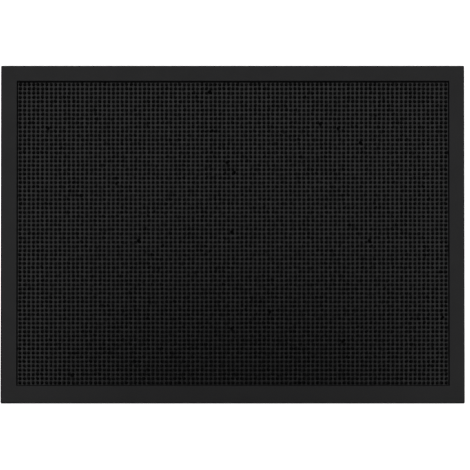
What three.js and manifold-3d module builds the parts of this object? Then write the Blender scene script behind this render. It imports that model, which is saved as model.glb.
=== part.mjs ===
// Door mat: a moulded rubber scraper mat, 600 x 440 mm. A flat border frames a recessed backing sheet
// that carries a grid of 97 x 71 tapered rubber pins, whose tips stand just above the border.
//
// Frame: millimetres, +Z up, +X along the long side, +Y towards the back edge. The origin is the centre
// of the underside, so the mat lies on the plane z = 0.
//
// The pins are grouped into strips of whole rows that run along X. Each strip is one tapered block that
// encloses its pins, from the sheet to their tips.

import * as THREE from 'three';
import { mergeVertices } from 'three/addons/utils/BufferGeometryUtils.js';
import Module from 'manifold-3d';

const wasm = await Module();
wasm.setup();

// ---- Driving dimensions ----
const WIDTH = 600; // outer size along X
const DEPTH = 440; // outer size along Y
const BORDER_TOP = 8; // height of the border
const BORDER_LEFT = 20.4; // widths of the flat border, which is trimmed a little off centre
const BORDER_RIGHT = 19.4;
const BORDER_FRONT = 22.2;
const BORDER_BACK = 19.9;
const CORNER_RADIUS = 1.5; // outer corners, seen from above
const EDGE_ROUND = 0.8; // rounding of the border's outer top edge
const SHEET_TOP = 3; // thickness of the backing sheet
const WALL_DRAFT = 1.8; // how far the border's inner wall leans in between its top and the sheet
const PIN_TOP = 8.5; // height of the pin tips
const COLUMNS = 97; // pins along X
const ROWS = 71; // pins along Y
const COLUMN_PITCH = 5.74; // spacing of the pins along X
const ROW_PITCH = 5.56; // spacing of the pins along Y
const PIN_ROOT = 4.5; // pin diameter at the sheet
const PIN_END = 3.2; // pin diameter below its rounded tip

// ---- Derived ----
const WELL_WIDTH = WIDTH - BORDER_LEFT - BORDER_RIGHT; // the opening at the border's top
const WELL_DEPTH = DEPTH - BORDER_FRONT - BORDER_BACK;
const WELL_X = (BORDER_LEFT - BORDER_RIGHT) / 2; // centre of the well
const WELL_Y = (BORDER_FRONT - BORDER_BACK) / 2;
const SHEET_WIDTH = WELL_WIDTH - 2 * WALL_DRAFT;
const SHEET_DEPTH = WELL_DEPTH - 2 * WALL_DRAFT;
const ROW_LENGTH = (COLUMNS - 1) * COLUMN_PITCH; // between the first and last pin of a row

const rubber = {
  border: new THREE.MeshStandardMaterial({ color: 0x1d1d1e, roughness: 0.55, metalness: 0 }),
  sheet: new THREE.MeshStandardMaterial({ color: 0x19191a, roughness: 0.6, metalness: 0 }),
  pins: new THREE.MeshStandardMaterial({ color: 0x141415, roughness: 0.7, metalness: 0 }),
};

// ---- Solids ----
function solidFrom(geometry) {
  const bare = geometry.index ? geometry.toNonIndexed() : geometry.clone();
  bare.deleteAttribute('normal');
  bare.deleteAttribute('uv');
  const merged = mergeVertices(bare, 1e-4);
  return new wasm.Manifold(
    new wasm.Mesh({
      numProp: 3,
      vertProperties: new Float32Array(merged.getAttribute('position').array),
      triVerts: new Uint32Array(merged.index.array),
    }),
  );
}

function geometryFrom(solid) {
  const mesh = solid.getMesh();
  const geometry = new THREE.BufferGeometry();
  geometry.setAttribute('position', new THREE.BufferAttribute(mesh.vertProperties, 3));
  geometry.setIndex(new THREE.BufferAttribute(mesh.triVerts, 1));
  geometry.computeVertexNormals();
  return geometry;
}

// A block centred on x = 0, y = 0, with a size of its own at the bottom and at the top.
function taperedBlock(bottom, top) {
  const block = new THREE.BoxGeometry(1, 1, 1);
  const corners = block.getAttribute('position');
  for (let i = 0; i < corners.count; i++) {
    const level = corners.getZ(i) < 0 ? bottom : top;
    corners.setXYZ(i, corners.getX(i) * level.width, corners.getY(i) * level.depth, level.z);
  }
  return block;
}

function straightBlock(width, depth, bottom, top) {
  return taperedBlock({ width, depth, z: bottom }, { width, depth, z: top });
}

function roundedRectangle(width, depth, radius) {
  const [x, y] = [width / 2, depth / 2];
  const outline = new THREE.Shape();
  outline.moveTo(radius - x, -y);
  outline.lineTo(x - radius, -y);
  outline.absarc(x - radius, radius - y, radius, -Math.PI / 2, 0);
  outline.lineTo(x, y - radius);
  outline.absarc(x - radius, y - radius, radius, 0, Math.PI / 2);
  outline.lineTo(radius - x, y);
  outline.absarc(radius - x, y - radius, radius, Math.PI / 2, Math.PI);
  outline.lineTo(-x, radius - y);
  outline.absarc(radius - x, radius - y, radius, Math.PI, 1.5 * Math.PI);
  return outline;
}

// ---- Border: a flat frame, rounded along its outer top edge, with a drafted wall down to the sheet ----
function borderFrame() {
  const spare = 5; // how far the cutters and the untrimmed slab run past the faces they make
  const slab = new THREE.ExtrudeGeometry(roundedRectangle(WIDTH, DEPTH, CORNER_RADIUS), {
    depth: BORDER_TOP + spare - 2 * EDGE_ROUND,
    bevelThickness: EDGE_ROUND,
    bevelSize: EDGE_ROUND,
    bevelOffset: -EDGE_ROUND,
    bevelSegments: 2,
    curveSegments: 4,
  }).translate(0, 0, EDGE_ROUND - spare);
  const below = straightBlock(2 * WIDTH, 2 * DEPTH, -2 * spare, 0);
  const sheetRoom = straightBlock(SHEET_WIDTH, SHEET_DEPTH, -spare, SHEET_TOP);
  const trimmed = solidFrom(slab).subtract(solidFrom(below));
  const opened = trimmed
    .subtract(solidFrom(sheetRoom.translate(WELL_X, WELL_Y, 0)))
    .subtract(solidFrom(wellCutter(spare).translate(WELL_X, WELL_Y, 0)));
  return geometryFrom(opened);
}

// The drafted part of the well, run on past the sheet and past the border's top at the same slope.
function wellCutter(spare) {
  const slope = WALL_DRAFT / (BORDER_TOP - SHEET_TOP);
  const sizeAt = (z) => {
    const inset = 2 * slope * (BORDER_TOP - z);
    return { width: WELL_WIDTH - inset, depth: WELL_DEPTH - inset, z };
  };
  return taperedBlock(sizeAt(SHEET_TOP - 1), sizeAt(BORDER_TOP + spare));
}

// ---- Backing sheet: the thin web that fills the foot of the well ----
function backingSheet() {
  return straightBlock(SHEET_WIDTH, SHEET_DEPTH, 0, SHEET_TOP).translate(WELL_X, WELL_Y, 0);
}

// ---- Pins: strips of whole rows, tapered as the pins are. Rows are counted from the front, from 1. ----
function pinStrip(firstRow, lastRow) {
  const rowSpan = (lastRow - firstRow) * ROW_PITCH;
  const centreY = ((firstRow + lastRow) / 2 - (ROWS + 1) / 2) * ROW_PITCH;
  const level = (diameter, z) => ({ width: ROW_LENGTH + diameter, depth: rowSpan + diameter, z });
  const strip = taperedBlock(level(PIN_ROOT, SHEET_TOP), level(PIN_END, PIN_TOP));
  return strip.translate(WELL_X, WELL_Y + centreY, 0);
}

// The rows go in pairs, with three rows in the middle strip, because there is an odd number of them.
function stripRows() {
  const middle = (ROWS + 1) / 2;
  const strips = [];
  for (let row = 1; row < middle - 1; row += 2) strips.push([row, row + 1]);
  strips.push([middle - 1, middle + 1]);
  for (let row = middle + 2; row < ROWS; row += 2) strips.push([row, row + 1]);
  return strips;
}

// ---- Assembly ----
const mat = new THREE.Group();

function add(name, geometry, material) {
  const mesh = new THREE.Mesh(geometry, material);
  mesh.name = name;
  mat.add(mesh);
}

add('border_frame', borderFrame(), rubber.border);
add('backing_sheet', backingSheet(), rubber.sheet);
for (const [first, last] of stripRows()) {
  const number = (row) => String(row).padStart(2, '0');
  add(`pin_rows_${number(first)}_${number(last)}`, pinStrip(first, last), rubber.pins);
}

export default mat;
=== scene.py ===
# A moulded black rubber door mat: a flat border, a thin sheet, and a field of tapered scraper pins.
# Metres, +Z up, +X along the long side, +Y towards the back edge.

import math

import bpy
import numpy as np
from mathutils import Matrix, Vector


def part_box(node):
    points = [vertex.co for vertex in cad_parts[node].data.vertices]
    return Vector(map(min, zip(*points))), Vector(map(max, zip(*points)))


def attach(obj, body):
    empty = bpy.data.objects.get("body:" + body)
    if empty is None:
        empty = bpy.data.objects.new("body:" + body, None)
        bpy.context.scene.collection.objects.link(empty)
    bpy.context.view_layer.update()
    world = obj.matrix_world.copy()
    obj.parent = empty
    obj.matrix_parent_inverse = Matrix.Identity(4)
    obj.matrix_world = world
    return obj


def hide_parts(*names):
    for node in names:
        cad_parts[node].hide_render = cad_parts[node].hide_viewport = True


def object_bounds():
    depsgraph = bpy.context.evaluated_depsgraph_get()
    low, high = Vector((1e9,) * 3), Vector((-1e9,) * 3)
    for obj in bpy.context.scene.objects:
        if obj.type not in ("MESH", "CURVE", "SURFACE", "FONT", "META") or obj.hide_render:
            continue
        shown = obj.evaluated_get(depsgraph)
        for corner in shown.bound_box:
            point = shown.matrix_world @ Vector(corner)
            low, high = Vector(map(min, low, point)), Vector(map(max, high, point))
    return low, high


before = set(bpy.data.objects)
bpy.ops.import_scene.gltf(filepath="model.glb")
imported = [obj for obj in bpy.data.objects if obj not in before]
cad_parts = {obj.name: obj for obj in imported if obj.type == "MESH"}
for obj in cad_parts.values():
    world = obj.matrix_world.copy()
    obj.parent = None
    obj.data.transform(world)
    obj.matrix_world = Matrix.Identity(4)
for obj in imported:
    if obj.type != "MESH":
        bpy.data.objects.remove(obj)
cad_low, cad_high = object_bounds()

# ---- Sizes, in metres ----
COLUMNS = 97  # pins in a row
PIN_ROOT = 0.0045  # pin diameter where it leaves the sheet
PIN_BURIED = 0.0001  # how far a pin is set into the sheet
WALL_DRAFT = 0.0018  # how far the well's wall leans in on its way down
CORNER_RADIUS = 0.0015  # outer corners, seen from above
EDGE_ROUND = 0.0008  # rounding of the border's outer top edge
BORDER_LEAST = 0.019  # just under the width of the border's narrowest side
BORDER_INSET = 0.02  # a first, even width for the border, before its sides get their own
NEAR = 1e-5  # points closer than this are at the same place
RIM_ROUND = 0.0004  # rounding where the border drops into the well

# A pin's outline above the sheet: share of its height, and radius as a share of the root's.
PIN_SIDES = 8
PIN_OUTLINE = [(0.08, 0.96), (0.86, 0.82), (0.96, 0.62), (1.0, 0.34)]

# How the pins stand: every one a little off upright, and a few bent over between their neighbours.
SEED = 7
LEAN_ALONE = (0.00048, 0.00028)  # along X and Y
LEAN_TOGETHER = (0.00036, 0.00022)  # the part of the lean that neighbours share
HEIGHT_SPREAD = 0.00008
BEND_CURVE = 1.6  # above 1, a pin bends more towards its tip
BENT_PINS = 16
BENT_BY = (0.0025, 0.0034)  # diagonally, into the gap between four neighbours

TIP_WEAR_AND_HIGHLIGHT_DEPTH = 0.0006  # how far down from its tip a pin is polished, and painted lighter as partly wear and partly a painted highlight
TIP_GLOSS = 0.30  # roughness of the polished tip
# The tips' lighter colour: partly wear, partly a painted highlight for light caught on the rounded tips.
TIP_WEAR_AND_HIGHLIGHT_COLOUR = (0.0028, 0.0028, 0.003)

VIEW_TILT = math.radians(7.5)  # the camera looks down and this far towards the back
VIEW_WIDTH = 0.6083  # what the frame takes in, side to side
VIEW_AIM = Vector((0.0031, -0.0003, 0.0))
LENS = 1150.0

LAMP_HEIGHT = 1.1  # of every soft box, all facing straight down
# Name, centre across and along, size across and along, brightness. The front two leave a gap between them.
SOFT_BOXES = [
    ("overhead", 0.0, 0.71, 2.2, 1.35, 1.0),
    ("front_left", -0.68, -0.26, 0.66, 0.62, 2.4),
    ("front_right", 0.68, -0.26, 0.66, 0.62, 2.2),
]
FLOOR_GLOW = 0.8
WORLD_BELOW = 0.02  # brightness below the horizon
# Height as a share of straight up, and the brightness there.
WORLD_BY_HEIGHT = [(0.01, 0.5), (0.35, 0.5), (0.6, 0.08), (1.0, 0.08)]


# ---- Camera, floor and light ----
def make_camera():
    data = bpy.data.cameras.new("view")
    data.lens = LENS
    distance = VIEW_WIDTH * LENS / data.sensor_width
    data.clip_end = 4 * distance
    camera = bpy.data.objects.new("view", data)
    bpy.context.scene.collection.objects.link(camera)
    camera.location = VIEW_AIM + distance * Vector((0, -math.sin(VIEW_TILT), math.cos(VIEW_TILT)))
    camera.rotation_euler = (VIEW_TILT, 0, 0)
    bpy.context.scene.camera = camera


def make_floor():
    bpy.ops.mesh.primitive_plane_add(size=80, location=(0, 0, -0.00005))
    floor = bpy.context.object
    floor.name = "floor"
    material = bpy.data.materials.new("pale_floor")
    material.use_nodes = True
    shader = material.node_tree.nodes["Principled BSDF"]
    shader.inputs["Base Color"].default_value = (0.9, 0.9, 0.9, 1)
    shader.inputs["Roughness"].default_value = 0.9
    shader.inputs["Specular IOR Level"].default_value = 0.0
    shader.inputs["Emission Color"].default_value = (1, 1, 1, 1)
    shader.inputs["Emission Strength"].default_value = FLOOR_GLOW
    floor.data.materials.append(material)
    floor.visible_glossy = False


def soft_box(name, location, size, radiance):
    data = bpy.data.lights.new(name, "AREA")
    data.shape = "RECTANGLE"
    data.size, data.size_y = size
    data.energy = radiance * math.pi * size[0] * size[1]
    lamp = bpy.data.objects.new(name, data)
    bpy.context.scene.collection.objects.link(lamp)
    lamp.location = location
    lamp.visible_camera = False


def make_world():
    """A pale room: bright round the horizon, dimmer overhead, and dark below the floor."""
    world = bpy.data.worlds.new("studio")
    bpy.context.scene.world = world
    world.use_nodes = True
    nodes, links = world.node_tree.nodes, world.node_tree.links
    direction = nodes.new("ShaderNodeTexCoord").outputs["Generated"]
    split = nodes.new("ShaderNodeSeparateXYZ")
    ramp = nodes.new("ShaderNodeValToRGB")
    links.new(direction, split.inputs["Vector"])
    links.new(split.outputs["Z"], ramp.inputs["Fac"])
    stops = ramp.color_ramp.elements
    stops[0].position, stops[1].position = 0.0, WORLD_BY_HEIGHT[-1][0]
    stops[0].color = (*[WORLD_BELOW] * 3, 1)
    stops[1].color = (*[WORLD_BY_HEIGHT[-1][1]] * 3, 1)
    for height, level in WORLD_BY_HEIGHT[:-1]:
        stops.new(height).color = (level, level, level, 1)
    links.new(ramp.outputs["Color"], nodes["Background"].inputs["Color"])


def make_light():
    make_world()
    for name, across, along, width, depth, radiance in SOFT_BOXES:
        soft_box(name, (across, along, LAMP_HEIGHT), (width, depth), radiance)
    bpy.context.scene.view_settings.view_transform = "Standard"


# ---- Rubber ----
class Nodes:
    """Adds nodes to a material and joins them."""

    def __init__(self, name):
        self.material = bpy.data.materials.new(name)
        self.material.use_nodes = True
        self.tree = self.material.node_tree
        self.shader = self.tree.nodes["Principled BSDF"]

    def add(self, kind, **settings):
        node = self.tree.nodes.new(kind)
        for key, value in settings.items():
            setattr(node, key, value)
        return node

    def join(self, source, target):
        self.tree.links.new(source, target)

    def place(self):
        return self.add("ShaderNodeTexCoord").outputs["Object"]

    def noise(self, place, size, detail=3.0):
        """A soft random pattern whose blotches are about size metres across."""
        node = self.add("ShaderNodeTexNoise")
        node.inputs["Scale"].default_value = 1 / size
        node.inputs["Detail"].default_value = detail
        self.join(place, node.inputs["Vector"])
        return node.outputs["Fac"]

    def spread(self, source, low, high):
        """The pattern's middle range stretched to run from low to high."""
        node = self.add("ShaderNodeMapRange")
        node.inputs["From Min"].default_value = 0.3
        node.inputs["From Max"].default_value = 0.7
        node.inputs["To Min"].default_value = low
        node.inputs["To Max"].default_value = high
        self.join(source, node.inputs["Value"])
        return node.outputs["Result"]

    def rise(self, place, low, high):
        """0 below the height low, 1 above the height high, and even between them."""
        split = self.add("ShaderNodeSeparateXYZ")
        node = self.add("ShaderNodeMapRange")
        node.inputs["From Min"].default_value = low
        node.inputs["From Max"].default_value = high
        self.join(place, split.inputs["Vector"])
        self.join(split.outputs["Z"], node.inputs["Value"])
        return node.outputs["Result"]

    def blend(self, factor, first, second):
        node = self.add("ShaderNodeMix", data_type="RGBA")
        node.inputs["A"].default_value = (*first, 1)
        node.inputs["B"].default_value = (*second, 1)
        self.join(factor, node.inputs["Factor"])
        return node.outputs["Result"]

    def overlay(self, socket, factor, kind, value):
        """Blends what already feeds a socket of the shader into one value, by factor."""
        node = self.add("ShaderNodeMix", data_type=kind)
        first, second = (next(i for i in node.inputs if i.name == name and i.enabled) for name in "AB")
        self.join(factor, node.inputs["Factor"])
        self.join(self.shader.inputs[socket].links[0].from_socket, first)
        second.default_value = value
        output = next(o for o in node.outputs if o.enabled)
        self.join(output, self.shader.inputs[socket])

    def bump(self, height, depth, normal=None):
        node = self.add("ShaderNodeBump")
        node.inputs["Distance"].default_value = depth
        self.join(height, node.inputs["Height"])
        if normal:
            self.join(normal, node.inputs["Normal"])
        return node.outputs["Normal"]


def cured_rubber(name, colour, gloss, specular, grain_size, grain_depth):
    """Black rubber: cloudy bloom in its colour, uneven gloss, a slight swell and a fine moulded grain."""
    n = Nodes(name)
    place = n.place()
    bloom = n.spread(n.noise(place, 0.045), 0, 1)
    n.join(n.blend(bloom, *colour), n.shader.inputs["Base Color"])
    n.join(n.spread(n.noise(place, 0.018), *gloss), n.shader.inputs["Roughness"])
    swell = n.bump(n.noise(place, 0.06, 1.0), 0.0002)
    n.join(n.bump(n.noise(place, grain_size, 2.0), grain_depth, swell), n.shader.inputs["Normal"])
    n.shader.inputs["Specular IOR Level"].default_value = specular
    return n


def border_rubber():
    colour = ((0.004, 0.004, 0.0046), (0.0055, 0.0055, 0.0062))
    return cured_rubber("border_rubber", colour, (0.40, 0.48), 0.25, 0.0006, 0.00002).material


def sheet_rubber():
    colour = ((0.004, 0.004, 0.0048), (0.0055, 0.0056, 0.0066))
    return cured_rubber("sheet_rubber", colour, (0.30, 0.36), 0.37, 0.0005, 0.00001).material


def pin_rubber(pin_top):
    """Dull sides painted near black, darker than the border's and sheet's rubber, as painted shade; and tips
    that a little use has polished, painted lighter as partly wear and partly a painted highlight.
    """
    # Painted shade: the pins' sides get a near-black colour, far darker than the same rubber in the border
    # and sheet.
    colour = ((0.0003, 0.0003, 0.0004), (0.0006, 0.0006, 0.0007))
    n = cured_rubber("pin_rubber", colour, (0.38, 0.48), 0.04, 0.0005, 0.00001)
    # Polished tips: lower roughness, and a lighter colour that is partly wear and partly a painted
    # highlight.
    tip = n.rise(n.place(), pin_top - TIP_WEAR_AND_HIGHLIGHT_DEPTH, pin_top - TIP_WEAR_AND_HIGHLIGHT_DEPTH / 3)
    n.overlay("Roughness", tip, "FLOAT", TIP_GLOSS)
    n.overlay("Base Color", tip, "RGBA", (*TIP_WEAR_AND_HIGHLIGHT_COLOUR, 1))
    return n.material


# ---- Modelling helpers ----
def deselect_all():
    """An operator then acts only on the piece that is added next."""
    bpy.ops.object.select_all(action="DESELECT")


def select_faces(piece, wanted):
    """Selects the faces that wanted(face) picks, in edit mode."""
    bpy.ops.mesh.select_all(action="DESELECT")
    bpy.ops.mesh.select_mode(type="FACE")
    bpy.ops.object.mode_set(mode="OBJECT")
    for face in piece.data.polygons:
        face.select = wanted(face)
    bpy.ops.object.mode_set(mode="EDIT")


def select_edges(piece, wanted):
    """Selects the edges whose two ends wanted(a, b) picks, in edit mode."""
    bpy.ops.mesh.select_all(action="DESELECT")
    bpy.ops.mesh.select_mode(type="EDGE")
    bpy.ops.object.mode_set(mode="OBJECT")
    corners = piece.data.vertices
    for edge in piece.data.edges:
        a, b = (corners[i].co for i in edge.vertices)
        edge.select = wanted(a, b)
    bpy.ops.object.mode_set(mode="EDIT")


def select_rim(piece, face_wanted, edge_wanted):
    """Selects the edges round the faces that face_wanted picks, where edge_wanted(a, b) picks them too."""
    select_faces(piece, face_wanted)
    bpy.ops.mesh.region_to_loop()
    bpy.ops.object.mode_set(mode="OBJECT")
    corners = piece.data.vertices
    for edge in piece.data.edges:
        a, b = (corners[i].co for i in edge.vertices)
        edge.select = edge.select and edge_wanted(a, b)
    bpy.ops.object.mode_set(mode="EDIT")


def finish_piece(piece, name, material, slot, *nodes):
    """Names a piece, gives it its rubber, and lets it stand for its CAD nodes."""
    piece.name = name
    piece.data.name = name
    piece.data.materials.clear()
    piece.data.materials.append(material)
    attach(piece, "root")
    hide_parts(*nodes)


# ---- Border ----
def fit_selection(now, wanted):
    """Resizes and moves the selected face from one (low, high) rectangle to another."""
    now_low, now_high = now
    low, high = wanted
    wider = (high.x - low.x) / (now_high.x - now_low.x)
    deeper = (high.y - low.y) / (now_high.y - now_low.y)
    bpy.ops.transform.resize(value=(wider, deeper, 1))
    shift = (low + high - now_low - now_high) / 2
    bpy.ops.transform.translate(value=(shift.x, shift.y, 0))


def make_border(material):
    """A block with the well sunk into its top and the same opening cut through underneath, for the sheet."""
    low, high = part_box("border_frame")
    sheet_low, sheet_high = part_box("backing_sheet")
    draft = Vector((WALL_DRAFT, WALL_DRAFT, 0))
    well = (sheet_low - draft, sheet_high + draft)
    sheet = (sheet_low, sheet_high)
    ring = Vector((BORDER_INSET, BORDER_INSET, 0))
    inner = (low + ring, high - ring)

    deselect_all()
    bpy.ops.mesh.primitive_cube_add(size=1, location=(low + high) / 2, scale=high - low)
    piece = bpy.context.object
    bpy.ops.object.transform_apply(location=True, rotation=False, scale=True)
    bpy.ops.object.mode_set(mode="EDIT")
    select_faces(piece, lambda f: f.normal.z > 0.9)
    bpy.ops.mesh.inset(thickness=BORDER_INSET)
    fit_selection(inner, well)
    bpy.ops.mesh.extrude_region_move(
        TRANSFORM_OT_translate={"value": (0, 0, sheet_high.z - high.z)})
    fit_selection(well, sheet)
    select_faces(piece, lambda f: f.normal.z < -0.9)
    bpy.ops.mesh.inset(thickness=BORDER_INSET)
    fit_selection(inner, sheet)
    middle = (sheet_low + sheet_high) / 2

    def closes_the_opening(face):
        return abs(face.normal.z) > 0.9 and (face.center - middle).xy.length < NEAR

    select_faces(piece, closes_the_opening)
    bpy.ops.mesh.bridge_edge_loops()
    round_border_edges(piece, low, high)
    bpy.ops.object.mode_set(mode="OBJECT")
    bpy.ops.object.shade_smooth_by_angle(angle=math.radians(40))
    even_normals(piece)
    finish_piece(piece, "border", material, "border_rubber", "border_frame")


def round_border_edges(piece, low, high):
    """Rounds the upright corners, then the rim of the well, then the outer top edge."""
    def margin(point):
        """How far a point is in from the mat's outline."""
        return min(point.x - low.x, high.x - point.x, point.y - low.y, high.y - point.y)

    def upright(a, b):
        return abs(a.z - b.z) > NEAR and max(margin(a), margin(b)) < NEAR

    def on_top(face):
        return face.normal.z > 0.9 and face.center.z > high.z - NEAR

    select_edges(piece, upright)
    bpy.ops.mesh.bevel(offset=CORNER_RADIUS, segments=4)
    select_rim(piece, on_top, lambda a, b: min(margin(a), margin(b)) > BORDER_LEAST / 2)
    bpy.ops.mesh.bevel(offset=RIM_ROUND, segments=3)
    select_rim(piece, on_top, lambda a, b: max(margin(a), margin(b)) < BORDER_LEAST / 2)
    bpy.ops.mesh.bevel(offset=EDGE_ROUND, segments=4)


def even_normals(piece):
    """Keeps wide flat faces flat right up to their rounded edges."""
    weighted = piece.modifiers.new("even", "WEIGHTED_NORMAL")
    weighted.keep_sharp = True
    bpy.ops.object.modifier_apply(modifier=weighted.name)


# ---- Pins ----
def make_pin(root, height):
    """One pin, standing with its root's centre at root: a short foot, a taper, and a rounded tip."""
    deselect_all()
    radius = PIN_ROOT / 2
    bpy.ops.mesh.primitive_circle_add(
        vertices=PIN_SIDES, radius=radius, fill_type="NGON", location=(0, 0, -PIN_BURIED))
    pin = bpy.context.object
    bpy.ops.object.transform_apply(location=True)
    bpy.ops.object.mode_set(mode="EDIT")
    bpy.ops.mesh.select_all(action="SELECT")
    level, width = -PIN_BURIED, 1.0
    for share, girth in PIN_OUTLINE:
        bpy.ops.mesh.extrude_region_move(
            TRANSFORM_OT_translate={"value": (0, 0, share * height - level)})
        bpy.ops.transform.resize(value=(girth / width, girth / width, 1))
        level, width = share * height, girth
    bpy.ops.mesh.select_all(action="SELECT")
    bpy.ops.mesh.normals_make_consistent(inside=False)
    bpy.ops.object.mode_set(mode="OBJECT")
    bpy.ops.object.shade_smooth()
    pin.data.transform(Matrix.Translation(root))
    return pin


def repeat(piece, count, step):
    """Copies the piece's shape count times along step, as one mesh."""
    bpy.ops.object.select_all(action="DESELECT")
    piece.select_set(True)
    bpy.context.view_layer.objects.active = piece
    array = piece.modifiers.new("repeat", "ARRAY")
    array.count = count
    array.use_relative_offset = False
    array.use_constant_offset = True
    array.constant_offset_displace = step
    bpy.ops.object.modifier_apply(modifier=array.name)


def bend_pins(piece, corners, leans, base, height):
    """Moves each pin's tip by its lean, in an even curve that leaves its root where it is."""
    points = np.empty(len(piece.data.vertices) * 3)
    piece.data.vertices.foreach_get("co", points)
    points = points.reshape(-1, corners, 3)
    rise = np.clip((points[:, :, 2] - base) / height, 0, 1)
    curve = rise[:, :, None] ** BEND_CURVE
    points[:, :, :2] += leans[:, :, :2] * curve
    drop = (leans[:, :, 0] ** 2 + leans[:, :, 1] ** 2) / (2 * height)
    points[:, :, 2] -= (drop + leans[:, :, 2]) * rise
    piece.data.vertices.foreach_set("co", points.ravel())
    piece.data.update()


def smoothed(field):
    """Averages each pin with its neighbours in the grid, and keeps the field's spread."""
    total = sum(np.roll(field, (down, right), (0, 1)) for down in (-1, 0, 1) for right in (-1, 0, 1))
    return total * field.std() / total.std()


def pin_leans(rows):
    """(x, y, shortening) for every pin, by row and then column. Neighbours lean partly together."""
    chance = np.random.default_rng(SEED)
    alone = chance.normal(0, LEAN_ALONE, (rows, COLUMNS, 2))
    together = smoothed(chance.normal(0, LEAN_TOGETHER, (rows, COLUMNS, 2)))
    shortening = abs(chance.normal(0, HEIGHT_SPREAD, (rows, COLUMNS, 1)))
    leans = np.concatenate((alone + together, shortening), axis=2)
    for _ in range(BENT_PINS):
        row, column = chance.integers(1, rows - 1), chance.integers(1, COLUMNS - 1)
        turn = (chance.integers(0, 4) + 0.5) * math.pi / 2
        by = chance.uniform(*BENT_BY)
        leans[row, column, :2] = by * math.cos(turn), by * math.sin(turn)
    return leans


def make_pins(material):
    strips = sorted(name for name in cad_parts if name.startswith("pin_rows_"))
    rows = max(int(name.split("_")[-1]) for name in strips)
    leans = pin_leans(rows)
    radius = PIN_ROOT / 2
    for name in strips:
        low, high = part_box(name)
        first, last = (int(part) for part in name.split("_")[-2:])
        count = last - first + 1
        height = high.z - low.z
        pin = make_pin((low.x + radius, low.y + radius, low.z), height)
        corners = len(pin.data.vertices)
        repeat(pin, COLUMNS, ((high.x - low.x - PIN_ROOT) / (COLUMNS - 1), 0, 0))
        repeat(pin, count, (0, (high.y - low.y - PIN_ROOT) / (count - 1), 0))
        bend_pins(pin, corners, leans[first - 1:last].reshape(-1, 1, 3), low.z, height)
        finish_piece(pin, name.replace("pin_rows", "pins"), material, "pin_rubber", name)


# ---- The whole mat ----
make_camera()
make_floor()
make_light()
make_border(border_rubber())
make_pins(pin_rubber(cad_high.z))
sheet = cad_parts["backing_sheet"]
sheet.data.materials.clear()
sheet.data.materials.append(sheet_rubber())
